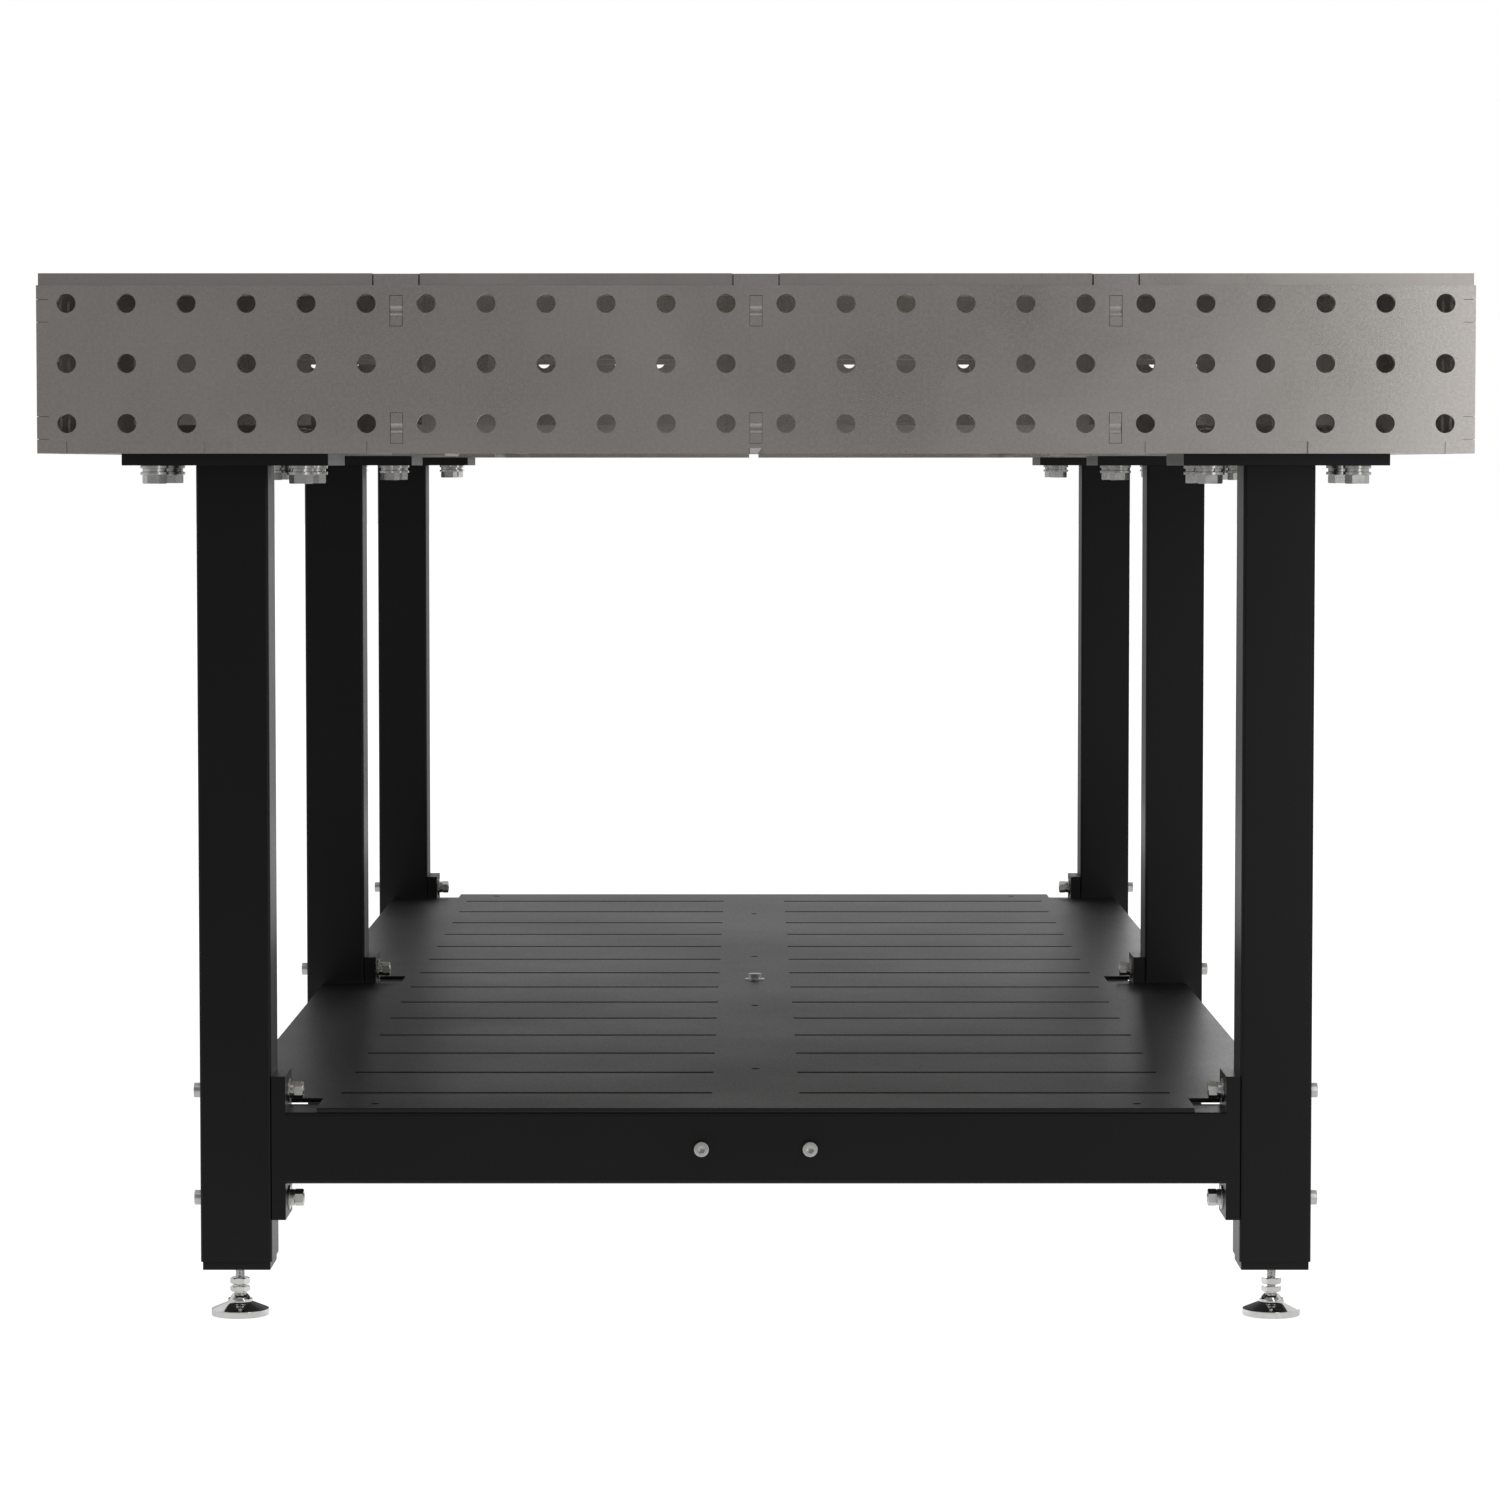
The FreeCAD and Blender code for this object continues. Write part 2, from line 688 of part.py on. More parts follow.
def leg_spots():
    """Centre of each leg on the floor."""
    return [FreeCAD.Vector(side * value("leg_offset"), row * value("leg_pitch"), 0)
            for row in LEG_ROWS.values() for side in SIDES.values()]


def group_leg_plates():
    """Plates welded to the legs' ends and the plates in the frame that they bolt to."""
    leg_plate = make_plate_with_bolt_holes("leg_plate_pattern", "leg_plate_width / 2",
                                           "leg_plate_width / 2", "leg_plate_width / 2", "big_hole")
    outer_reach = "table_length / 2 - leg_pitch"
    end_mount = make_plate_with_bolt_holes("end_mount_pattern", "mount_width / 2",
                                           outer_reach, "mount_inner", "big_thread")
    cut_mount_notch(end_mount, outer_reach)
    middle_mount = make_plate_with_bolt_holes("middle_mount_pattern", "mount_width / 2",
                                              "mount_width / 2", "mount_width / 2", "big_thread")
    cap = make_cap()
    doc.recompute()
    frame_bottom = FreeCAD.Vector(0, 0, value("table_height - frame_depth"))
    leg_top = frame_bottom - FreeCAD.Vector(0, 0, value("plate"))
    cap_bottom = FreeCAD.Vector(0, 0, value("leg_bottom - cap_height"))
    half_turn = FreeCAD.Rotation(FreeCAD.Vector(0, 0, 1), 180)
    spots = leg_spots()
    copy_group("leg_top_plates", [(leg_plate, spot + leg_top, UPRIGHT) for spot in spots])
    copy_group("leg_caps", [(cap, spot + cap_bottom, UPRIGHT) for spot in spots])
    copy_group("end_leg_mount_plates", [(end_mount, spot + frame_bottom, half_turn if spot.y > 0 else UPRIGHT)
                                        for spot in spots if spot.y])
    copy_group("middle_leg_mount_plates", [(middle_mount, spot + frame_bottom, UPRIGHT)
                                           for spot in spots if not spot.y])


def group_leg_fasteners():
    """Bolts up through each leg plate, each with a spring washer between two flat washers."""
    bolt = make_bolt("m12_bolt_pattern", "big_across", "big_head", "big_thread", "big_length")
    washer = make_washer("m12_washer_pattern", "big_washer_diameter", "big_washer", "big_hole")
    spring = make_spring_washer("m12_spring_pattern", "big_spring_diameter", "big_spring", "big_hole")
    doc.recompute()
    half = value("leg_bolt_spacing / 2")
    under_plate = value("table_height - frame_depth - plate")
    corners = [spot + FreeCAD.Vector(x * half, y * half, under_plate)
               for spot in leg_spots() for x in (-1, 1) for y in (-1, 1)]
    upper_washer = FreeCAD.Vector(0, 0, value("big_washer"))
    spring_drop = upper_washer + FreeCAD.Vector(0, 0, value("big_spring"))
    head_drop = spring_drop + upper_washer
    copy_group("leg_bolts", [(bolt, corner - head_drop, UPRIGHT) for corner in corners])
    copy_group("leg_bolt_washers", [(washer, corner - drop, UPRIGHT)
                                    for corner in corners for drop in (upper_washer, head_drop)])
    copy_group("leg_bolt_spring_washers", [(spring, corner - spring_drop, UPRIGHT) for corner in corners])


def beam_joints():
    """Each beam bolt as the face its head sits on, its direction and the grip."""
    height = value("beam_centre")
    half = value("flange_bolt_spacing / 2")
    outer = value("leg_offset + tube / 2")
    joints = []
    for row in LEG_ROWS.values():
        for side in SIDES.values():
            for step in (-half, half):
                face = FreeCAD.Vector(side * outer, row * value("leg_pitch"), height + step)
                joints.append((face, FreeCAD.Vector(-side, 0, 0), value("tube + flange_thickness")))
    for side in (-half, half):
        for end in (-1, 1):
            face = FreeCAD.Vector(side, end * value("leg_pitch + tube / 2"), height)
            joints.append((face, FreeCAD.Vector(0, -end, 0), value("tube + flange_thickness")))
        face = FreeCAD.Vector(side, -value("tube / 2 + flange_thickness"), height)
        joints.append((face, FreeCAD.Vector(0, 1, 0), value("tube + 2 * flange_thickness")))
    return joints


def group_beam_flanges():
    """Flanges on the ends of the cross beams and of the long beams."""
    flange = make_flange()
    doc.recompute()
    diagonal = FreeCAD.Vector(1, 1, 1)
    height = value("beam_centre")
    near = value("leg_offset - tube / 2 - flange_thickness")
    far = value("leg_offset - tube / 2")
    across = [(flange, FreeCAD.Vector(x, row * value("leg_pitch"), height), FreeCAD.Rotation(diagonal, 120))
              for row in LEG_ROWS.values() for x in (-far, near)]
    first = value("tube / 2")
    last = value("leg_pitch - tube / 2 - flange_thickness")
    starts = (-last - value("flange_thickness"), -first - value("flange_thickness"), first, last)
    along = [(flange, FreeCAD.Vector(0, y, height), FreeCAD.Rotation(diagonal, 240)) for y in starts]
    copy_group("cross_beam_flanges", across)
    copy_group("long_beam_flanges", along)


def group_beam_fasteners():
    """Bolts, washers and nuts of the beams, and the screw that holds the shelf down."""
    beyond_grip = "small_washer + small_spring + small_nut + small_tail"
    bolt = make_socket_bolt("m8_bolt_pattern", f"tube + flange_thickness + {beyond_grip}")
    long_bolt = make_socket_bolt("m8_long_bolt_pattern", f"tube + 2 * flange_thickness + {beyond_grip}")
    washer = make_washer("m8_washer_pattern", "small_washer_diameter", "small_washer", "small_hole")
    spring = make_spring_washer("m8_spring_pattern", "small_spring_diameter", "small_spring", "small_hole")
    nut = subtract("m8_nut_pattern", hexagon("small_across", "small_nut"),
                   cylinder("small_thread / 2 + thread_gap", "small_nut"))
    screw = make_bolt("m8_screw_pattern", "small_across", "shelf_screw_head", "small_thread",
                      "shelf_screw_length")
    doc.recompute()
    thickness = value("small_washer")
    standard_grip = value("tube + flange_thickness")
    bolts, washers, springs, nuts = [], [], [], []
    for face, direction, grip in beam_joints():
        turned = facing(*direction)
        back = face + direction * grip
        bolts.append((bolt if grip == standard_grip else long_bolt, face, turned))
        washers.append((washer, back, turned))
        springs.append((spring, back + direction * thickness, turned))
        nuts.append((nut, back + direction * value("small_washer + small_spring"), turned))
    shelf_top = FreeCAD.Vector(0, 0, value("beam_centre + tube / 2 + shelf_thickness"))
    washers.append((washer, shelf_top, UPRIGHT))
    head_seat = shelf_top + FreeCAD.Vector(0, 0, thickness)
    copy_group("beam_bolts", bolts)
    copy_group("m8_washers", washers)
    copy_group("beam_spring_washers", springs)
    copy_group("beam_nuts", nuts)
    copy_group("shelf_screw", [(screw, head_seat, facing(0, 0, -1))])


def check_document():
    """Stop if any object of the document failed."""
    for item in doc.Objects:
        failed = [state for state in item.State if state in ("Invalid", "Error")]
        if failed:
            raise RuntimeError(f"{item.Label} is {failed}")


def export_parts():
    """Check each sub-part and write it to its own file."""
    os.makedirs("parts", exist_ok=True)
    hidden = {item for owner in doc.Objects if owner.TypeId.startswith("Part::") for item in owner.OutList}
    kinds = ("PartDesign::Body", "Part::Feature", "Part::Cut", "Part::MultiFuse")
    for item in doc.Objects:
        if item.TypeId not in kinds or item in hidden or "_pattern" in item.Label:
            continue
        shape = item.Shape
        if shape.isNull() or not shape.isValid():
            raise RuntimeError(f"{item.Label} has no valid shape")
        shape.exportStep(f"parts/{item.Label}.step")
        box = shape.BoundBox
        print(f"{item.Label}: {len(shape.Solids)} solids, {shape.Volume / 1000:.1f} cm3, "
              f"X {box.XMin:.1f}..{box.XMax:.1f} Y {box.YMin:.1f}..{box.YMax:.1f} "
              f"Z {box.ZMin:.1f}..{box.ZMax:.1f}")


fill_sheet()
make_frame()
make_legs_and_beams()
group_leg_plates()
group_leg_fasteners()
group_beam_flanges()
group_beam_fasteners()
doc.recompute()
check_document()
export_parts()
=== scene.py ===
import math

import bmesh
import bpy
import numpy as np
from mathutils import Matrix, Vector


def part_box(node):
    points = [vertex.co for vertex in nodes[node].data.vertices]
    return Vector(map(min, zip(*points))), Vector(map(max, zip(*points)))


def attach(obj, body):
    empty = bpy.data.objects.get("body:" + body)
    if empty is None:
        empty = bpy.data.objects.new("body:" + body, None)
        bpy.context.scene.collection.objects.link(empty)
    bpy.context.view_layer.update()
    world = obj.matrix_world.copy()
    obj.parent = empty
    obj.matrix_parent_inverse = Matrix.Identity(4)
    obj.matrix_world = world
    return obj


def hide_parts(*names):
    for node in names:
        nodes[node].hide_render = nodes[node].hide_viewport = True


# Looks of the perforated welding table: finishes on the CAD plates, tubes and sheet, and detailed
# fasteners and levelling feet in place of the CAD's plain ones. Shapes are in millimetres until
# they become meshes.

MM = 0.001
ROWS = ("front", "middle", "rear")
SIDES = ("left", "right")
CORNERS = [f"{row}_{side}" for row in ROWS for side in SIDES]

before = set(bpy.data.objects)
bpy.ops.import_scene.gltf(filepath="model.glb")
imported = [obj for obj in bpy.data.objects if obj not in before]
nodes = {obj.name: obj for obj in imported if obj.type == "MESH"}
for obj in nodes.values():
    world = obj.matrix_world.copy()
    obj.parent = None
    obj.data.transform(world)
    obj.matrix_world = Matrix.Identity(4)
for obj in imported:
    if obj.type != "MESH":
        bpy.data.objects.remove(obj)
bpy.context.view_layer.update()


def box(node):
    """Lowest and highest corners of a CAD node, in millimetres."""
    low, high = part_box(node)
    return low / MM, high / MM


# ---------------------------------------------------------------- shapes, as (points, faces)

TURN = 2 * math.pi
SEGMENTS = 48
FINE_SEGMENTS = 64
THREAD_SEGMENTS = 24
THREAD_STEPS = 8
WASHER_STATIONS = 45


def angles(count):
    return np.arange(count) * TURN / count


def ring(radius, height, count=SEGMENTS):
    """Closed ring of points; the radius and the height may each be one number or one per point."""
    turn = angles(count)
    heights = np.broadcast_to(height, turn.shape)
    return np.column_stack([radius * np.cos(turn), radius * np.sin(turn), heights])


def skin(rings, first=None, last=None, loop=False):
    """Quads between closed rings. An end is left open, made "flat", or brought to the height given."""
    count = len(rings[0])
    points = [np.array(rings).reshape(-1, 3)]
    faces = []
    pairs = [(i, i + 1) for i in range(len(rings) - 1)] + ([(len(rings) - 1, 0)] if loop else [])
    for low, high in pairs:
        faces += [(low * count + j, low * count + (j + 1) % count, high * count + (j + 1) % count,
                   high * count + j) for j in range(count)]
    total = len(rings) * count
    for end, start in ((first, 0), (last, total - count)):
        edge = [start + j for j in range(count)]
        if isinstance(end, str):
            faces.append(tuple(edge))
        elif end is not None:
            points.append([(0.0, 0.0, end)])
            faces += [(edge[j], edge[(j + 1) % count], total) for j in range(count)]
            total += 1
    return np.vstack(points), faces


def lathe(profile, count=SEGMENTS, **ends):
    """Solid of revolution about Z from (radius, height) pairs."""
    return skin([ring(radius, height, count) for radius, height in profile], **ends)


def arc(centre_r, centre_z, radius, start, end, steps):
    """Profile points along an arc, with its angles in degrees from the +radius direction."""
    sweep = np.radians(np.linspace(start, end, steps + 1))
    return [(centre_r + radius * math.cos(a), centre_z + radius * math.sin(a)) for a in sweep]


def joined(*shapes):
    """Several shapes as one."""
    points, faces, total = [], [], 0
    for shape_points, shape_faces in shapes:
        points.append(shape_points)
        faces += [tuple(total + index for index in face) for face in shape_faces]
        total += len(shape_points)
    return np.vstack(points), faces


def lifted(shape, height):
    return shape[0] + (0, 0, height), shape[1]


def turned(shape, degrees):
    a = math.radians(degrees)
    rotation = np.array([[math.cos(a), math.sin(a), 0], [-math.sin(a), math.cos(a), 0], [0, 0, 1]])
    return shape[0] @ rotation, shape[1]


def placed(shape, origin, outward, spin=0.0):
    """A shape with its +Z turned to an outward axis and its +X to world Z, or to X if that is taken."""
    points, faces = turned(shape, spin)
    z_axis = Vector(outward).normalized()
    x_axis = Vector((1, 0, 0)) if abs(z_axis.z) > 0.5 else Vector((0, 0, 1))
    basis = np.array([x_axis, z_axis.cross(x_axis), z_axis])
    return points @ basis + np.array(origin), faces


def hex_radius(across):
    """Distance from the centre to a hexagon's outline at each angle, with a corner on +X."""
    sector = TURN / 6
    return across / 2 / np.cos(np.mod(angles(SEGMENTS), sector) - sector / 2)


CHAMFER_SLOPE = math.tan(math.radians(30))
EDGE = 0.15
CREASE = 32


def hex_end(across, height, inward, circle):
    """Two rings that round a hexagon's end and turn its corners down to a circle."""
    outline = hex_radius(across)
    rim = np.minimum(outline, across / 2 * circle)
    chamfer = EDGE + (outline - rim) * CHAMFER_SLOPE
    return [ring(outline, height + inward * chamfer), ring(rim - EDGE, height)]


def hex_rings(across, low, high, low_circle, high_circle):
    """Side of a hexagon between its chamfered ends; a circle of 1 touches the middle of each flat."""
    return hex_end(across, low, 1, low_circle)[::-1] + hex_end(across, high, -1, high_circle)


def hex_nut(across, height, bore):
    """Nut from Z0 up, with its bore's edges countersunk."""
    sink = 0.7
    outer = hex_rings(across, 0, height, 1.0, 1.0)
    inner = [ring(bore + sink, height), ring(bore, height - sink), ring(bore, sink), ring(bore + sink, 0)]
    return skin(outer + inner, loop=True)


def flat_washer(inner, outer, thickness):
    edge = 0.2
    return lathe([(inner + edge, 0), (outer - edge, 0), (outer, edge), (outer, thickness - edge),
                  (outer - edge, thickness), (inner + edge, thickness), (inner, thickness - edge),
                  (inner, edge)], loop=True)


def spring_washer(inner, outer, thickness):
    """Split ring, squeezed flat but for a slight step at its slanted slit."""
    edge, gap, step, slant = 0.25, math.radians(5), 0.12, math.radians(7)
    eased = 0.12
    section = [(inner + edge, 0), (outer - edge, 0), (outer, edge), (outer, thickness - edge),
               (outer - edge, thickness), (inner + edge, thickness), (inner, thickness - edge), (inner, edge)]
    stations = []
    for share in np.linspace(0, 1, WASHER_STATIONS):
        middle = gap / 2 + share * (TURN - gap)
        points = []
        for radius, height in section:
            a = middle + slant * (height / thickness - 0.5)
            rise = np.interp(share, [0, eased, 1 - eased, 1], [0, step, step, 2 * step]) - step
            level = min(max(height + rise, 0), thickness)
            points.append((radius * math.cos(a), radius * math.sin(a), level))
        stations.append(points)
    return skin(np.array(stations), first="flat", last="flat")


def thread(radius, pitch, low, high, low_chamfer=0.0, high_chamfer=0.0):
    """Helical V thread between two heights, cut down at an end by a 45 degree chamfer."""
    depth, crest, flank = 0.6 * pitch, 0.14, 0.76
    rings = []
    turn = angles(THREAD_SEGMENTS)
    for height in np.linspace(low, high, max(2, round((high - low) / pitch * THREAD_STEPS) + 1)):
        wave = np.abs(2 * np.mod(height / pitch - turn / TURN, 1) - 1)
        r = radius - depth * np.clip((wave - crest) / flank, 0, 1)
        for chamfer, distance in ((low_chamfer, height - low), (high_chamfer, high - height)):
            if chamfer:
                r = np.minimum(r, radius - max(0.0, chamfer - distance))
        rings.append(ring(r, height, THREAD_SEGMENTS))
    return rings


def hex_bolt(across, head, radius, pitch, length, threaded):
    """Hexagon bolt with its head's underside at Z0, the head up and the shank down."""
    corner_circle = 1.08
    solid = skin(hex_rings(across, 0, head, corner_circle, corner_circle), first="flat", last="flat")
    return joined(solid, shank(radius, pitch, length, threaded))


def shank(radius, pitch, length, threaded):
    """Bolt shank from Z0 down, plain first and threaded over the rest, with a chamfered end."""
    start, taper = threaded - length, 0.4
    plain = lathe([(radius, 0), (radius, start + taper), (radius - taper, start)], THREAD_SEGMENTS)
    rings = thread(radius, pitch, -length, start, low_chamfer=0.75 * pitch)
    return joined(plain, skin(rings, first="flat"))


def socket_bolt(head_radius, head, socket, socket_depth, radius, pitch, length, threaded):
    """Round-headed bolt with a hexagon socket, its head's underside at Z0."""
    fillet, edge, sink = 0.5, 0.3, 0.35
    drill_radius, drill_step, drill_tip = 2.5, 0.1, 1.3
    outside = [ring(head_radius - edge, 0), ring(head_radius, edge)]
    outside += [ring(r, z) for r, z in arc(head_radius - fillet, head - fillet, fillet, 0, 90, 5)]
    mouth = hex_radius(socket)
    floor = head - socket_depth
    inside = [ring(mouth + sink, head), ring(mouth, head - edge), ring(mouth, floor),
              ring(drill_radius, floor - drill_step)]
    return joined(skin(outside + inside, first="flat", last=floor - drill_tip),
                  shank(radius, pitch, length, threaded))


def piece(name, body, slot, replaced, *shapes):
    """One mesh object from shapes, riding a body in place of CAD nodes, with its slot's finish."""
    points, faces = joined(*shapes)
    mesh = bpy.data.meshes.new(name)
    mesh.from_pydata((points * MM).tolist(), [], faces)
    mesh.validate()
    obj = bpy.data.objects.new(name, mesh)
    bpy.context.scene.collection.objects.link(obj)
    work = bmesh.new()
    work.from_mesh(mesh)
    bmesh.ops.recalc_face_normals(work, faces=work.faces)
    work.to_mesh(mesh)
    work.free()
    mesh.polygons.foreach_set("use_smooth", [True] * len(mesh.polygons))
    mesh.set_sharp_from_angle(angle=math.radians(CREASE))
    mesh.materials.append(finishes[slot])
    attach(obj, body)
    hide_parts(*replaced)


# ---------------------------------------------------------------- finishes

def add_node(tree, kind, inputs=None, **settings):
    """A new node with its settings, whose inputs are linked to sockets or given plain values."""
    made = tree.nodes.new(kind)
    for key, setting in settings.items():
        setattr(made, key, setting)
    for key, source in (inputs or {}).items():
        if isinstance(source, bpy.types.NodeSocket):
            tree.links.new(source, made.inputs[key])
        else:
            made.inputs[key].default_value = source
    return made


class Nodes:
    """Short names for building one material's nodes."""

    def __init__(self, name):
        self.material = bpy.data.materials.new(name)
        self.material.use_nodes = True
        self.tree = self.material.node_tree
        self.shader = self.tree.nodes["Principled BSDF"]
        coordinates = self.add("ShaderNodeTexCoord")
        self.where = coordinates.outputs["Object"]
        self.facing = coordinates.outputs["Normal"]

    def add(self, kind, inputs=None, **settings):
        return add_node(self.tree, kind, inputs, **settings)

    def noise(self, scale, detail, rough=0.5, distortion=0.0, stretch=(1, 1, 1), offset=(0, 0, 0)):
        """Noise with features of about 1 / scale metres, drawn out along the axes with small stretch."""
        where = self.add("ShaderNodeMapping", {"Vector": self.where, "Scale": stretch, "Location": offset})
        return self.add("ShaderNodeTexNoise", {
            "Vector": where.outputs[0], "Scale": scale, "Detail": detail, "Roughness": rough,
            "Distortion": distortion}).outputs[0]

    def ramp(self, source, low, high, out_low, out_high):
        return self.add("ShaderNodeMapRange", {
            "Value": source, "From Min": low, "From Max": high, "To Min": out_low,
            "To Max": out_high}).outputs[0]

    def maths(self, operation, a, b):
        return self.add("ShaderNodeMath", {0: a, 1: b}, operation=operation).outputs[0]

    def mix(self, share, a, b):
        return self.add("ShaderNodeMix", {0: share, 6: a, 7: b}, data_type="RGBA").outputs[2]

    def bump(self, height, distance, strength, normal=None):
        inputs = {"Height": height, "Distance": distance, "Strength": strength}
        if normal is not None:
            inputs["Normal"] = normal
        return self.add("ShaderNodeBump", inputs).outputs[0]

    def set(self, **inputs):
        for key, source in inputs.items():
            socket = self.shader.inputs[key.replace("_", " ")]
            if isinstance(source, bpy.types.NodeSocket):
                self.tree.links.new(source, socket)
            else:
                socket.default_value = source
        return self.material


def colour(*rgb):
    return (*rgb, 1.0)


def frame_steel():
    """Bare cut plate: cloudy mill surface with a fine bead-blasted grain."""
    n = Nodes("frame_steel")
    clouds = n.noise(5.0, 4.0, 0.55, 0.4)
    grain = n.noise(900.0, 2.0, 0.7)
    specks = n.noise(330.0, 3.0, 0.65, offset=(3.1, 1.7, 5.3))
    tone = n.mix(n.ramp(clouds, 0.35, 0.65, 0, 1), colour(0.50, 0.466, 0.437), colour(0.555, 0.52, 0.49))
    tone = n.mix(n.ramp(specks, 0.44, 0.60, 0.0, 0.30), tone, colour(0.66, 0.65, 0.64))
    tone = n.mix(n.ramp(grain, 0.52, 0.66, 0.0, 0.32), tone, colour(0.28, 0.26, 0.245))
    rough = n.maths("ADD", n.ramp(clouds, 0.3, 0.7, 0.26, 0.33), n.ramp(grain, 0.3, 0.7, -0.03, 0.04))
    normal = n.bump(grain, 0.00003, 0.6)
    normal = n.bump(specks, 0.00006, 0.5, normal)
    return n.set(Base_Color=tone, Metallic=0.9, Roughness=rough, Normal=normal)


def top_steel():
    """Ground working face with long fine grinding lines and a few scratches, and plain cut sides."""
    n = Nodes("top_steel")
    clouds = n.noise(3.5, 5.0, 0.6, 0.6)
    lines = n.noise(60.0, 3.0, 0.6, stretch=(14, 0.25, 1))
    fine = n.noise(160.0, 2.0, 0.6, stretch=(12, 0.5, 1), offset=(2.3, 0.7, 0))
    scratches = n.noise(26.0, 2.0, 0.5, 0.25, stretch=(0.22, 7.0, 1), offset=(9.1, 4.2, 0))
    tone = n.mix(n.ramp(clouds, 0.3, 0.7, 0, 1), colour(0.50, 0.49, 0.475), colour(0.62, 0.61, 0.60))
    tone = n.mix(n.ramp(lines, 0.42, 0.66, 0.0, 0.5), tone, colour(0.36, 0.35, 0.34))
    tone = n.mix(n.ramp(scratches, 0.64, 0.70, 0.0, 0.40), tone, colour(0.76, 0.75, 0.74))
    cut_tone = n.mix(n.ramp(clouds, 0.35, 0.65, 0, 1), colour(0.47, 0.438, 0.411), colour(0.53, 0.497, 0.468))
    upward = n.add("ShaderNodeSeparateXYZ", {0: n.facing}).outputs["Z"]
    tone = n.mix(n.ramp(upward, 0.4, 0.6, 0, 1), cut_tone, tone)
    rough = n.maths("ADD", n.ramp(clouds, 0.3, 0.7, 0.27, 0.37), n.ramp(fine, 0.3, 0.7, -0.05, 0.08))
    normal = n.bump(lines, 0.00006, 0.6)
    normal = n.bump(fine, 0.00004, 0.6, normal)
    return n.set(Base_Color=tone, Metallic=1.0, Roughness=rough, Normal=normal)


def black_coat(name, grain_strength, gloss, roughness):
    """Satin black powder coat with a fine orange-peel surface."""
    n = Nodes(name)
    clouds = n.noise(4.0, 3.0)
    peel = n.noise(420.0, 2.0, 0.5)
    grit = n.noise(1500.0, 2.0, 0.6)
    tone = n.mix(n.ramp(clouds, 0.3, 0.7, 0, 1), colour(0.0042, 0.0042, 0.0045), colour(0.006, 0.006, 0.0063))
    tone = n.mix(n.ramp(grit, 0.58, 0.72, 0, grain_strength), tone, colour(0.024, 0.024, 0.025))
    cloudy_rough = n.ramp(clouds, 0.3, 0.7, roughness - 0.03, roughness + 0.03)
    rough = n.maths("ADD", cloudy_rough, n.ramp(peel, 0.35, 0.65, -0.03, 0.04))
    normal = n.bump(peel, 0.00004, 0.55)
    normal = n.bump(grit, 0.00001, grain_strength, normal)
    n.shader.inputs["Specular IOR Level"].default_value = gloss
    return n.set(Base_Color=tone, Metallic=0.0, Roughness=rough, Normal=normal)


def zinc():
    """Bright zinc plating with faint cloudy patches and fine handling marks."""
    n = Nodes("zinc_fasteners")
    clouds = n.noise(110.0, 4.0, 0.6, 0.5)
    grain = n.noise(1400.0, 2.0, 0.6)
    tone = n.mix(n.ramp(clouds, 0.35, 0.65, 0, 1), colour(0.60, 0.595, 0.575), colour(0.74, 0.735, 0.72))
    rough = n.maths("ADD", n.ramp(clouds, 0.3, 0.7, 0.24, 0.33), n.ramp(grain, 0.3, 0.7, -0.03, 0.05))
    normal = n.bump(grain, 0.00001, 0.5)
    return n.set(Base_Color=tone, Metallic=1.0, Roughness=rough, Normal=normal)


def chrome():
    """Nickel-bright plating, a little uneven, with faint smudges."""
    n = Nodes("foot_chrome")
    smudges = n.noise(85.0, 4.0, 0.6, 0.8)
    grain = n.noise(900.0, 2.0, 0.6)
    tone = n.mix(n.ramp(smudges, 0.35, 0.65, 0, 1), colour(0.74, 0.735, 0.725), colour(0.86, 0.855, 0.845))
    rough = n.maths("ADD", n.ramp(smudges, 0.35, 0.7, 0.07, 0.14), n.ramp(grain, 0.3, 0.7, -0.02, 0.03))
    normal = n.bump(grain, 0.000008, 0.4)
    return n.set(Base_Color=tone, Metallic=1.0, Roughness=rough, Normal=normal)


finishes = {
    "top_steel": top_steel(),
    "frame_steel": frame_steel(),
    "black_coating": black_coat("black_coating", 0.25, 0.28, 0.36),
    "shelf_sheet": black_coat("shelf_sheet", 0.6, 0.38, 0.39),
    "zinc_fasteners": zinc(),
    "foot_chrome": chrome(),
}
for node in nodes.values():
    for slot_index, slot in enumerate(node.material_slots):
        key = slot.material.name.split(".")[0]
        node.data.materials[slot_index] = finishes[key]


# ---------------------------------------------------------------- softened plate and tube edges

EDGE_BEVEL, SHARP_ANGLE, WELD_DISTANCE = 0.3, 35, 0.01


def soften(name):
    """Breaks a CAD node's sharp edges with a small bevel."""
    obj = nodes[name]
    weld = obj.modifiers.new("weld", "WELD")
    weld.merge_threshold = WELD_DISTANCE * MM
    bevel = obj.modifiers.new("bevel", "BEVEL")
    bevel.width = EDGE_BEVEL * MM
    bevel.segments = 1
    bevel.limit_method = "ANGLE"
    bevel.angle_limit = math.radians(SHARP_ANGLE)
    bevel.loop_slide = False
    bevel.use_clamp_overlap = False
    obj.modifiers.new("shade", "WEIGHTED_NORMAL")


for name in [node for node in nodes if node.startswith("leg_") and "bolt" not in node] + ["shelf"]:
    soften(name)

# ---------------------------------------------------------------- fasteners

leg_centre = {corner: (box(f"leg_{corner}")[0] + box(f"leg_{corner}")[1]) / 2 for corner in CORNERS}
plate_low = box("leg_top_plates")[0].z
big_head_low, big_end = box("leg_bolts")[0].z, box("leg_bolts")[1].z
big_stack_low = box("leg_bolt_washers")[0].z
spring_low, spring_high = box("leg_bolt_spring_washers")[0].z, box("leg_bolt_spring_washers")[1].z
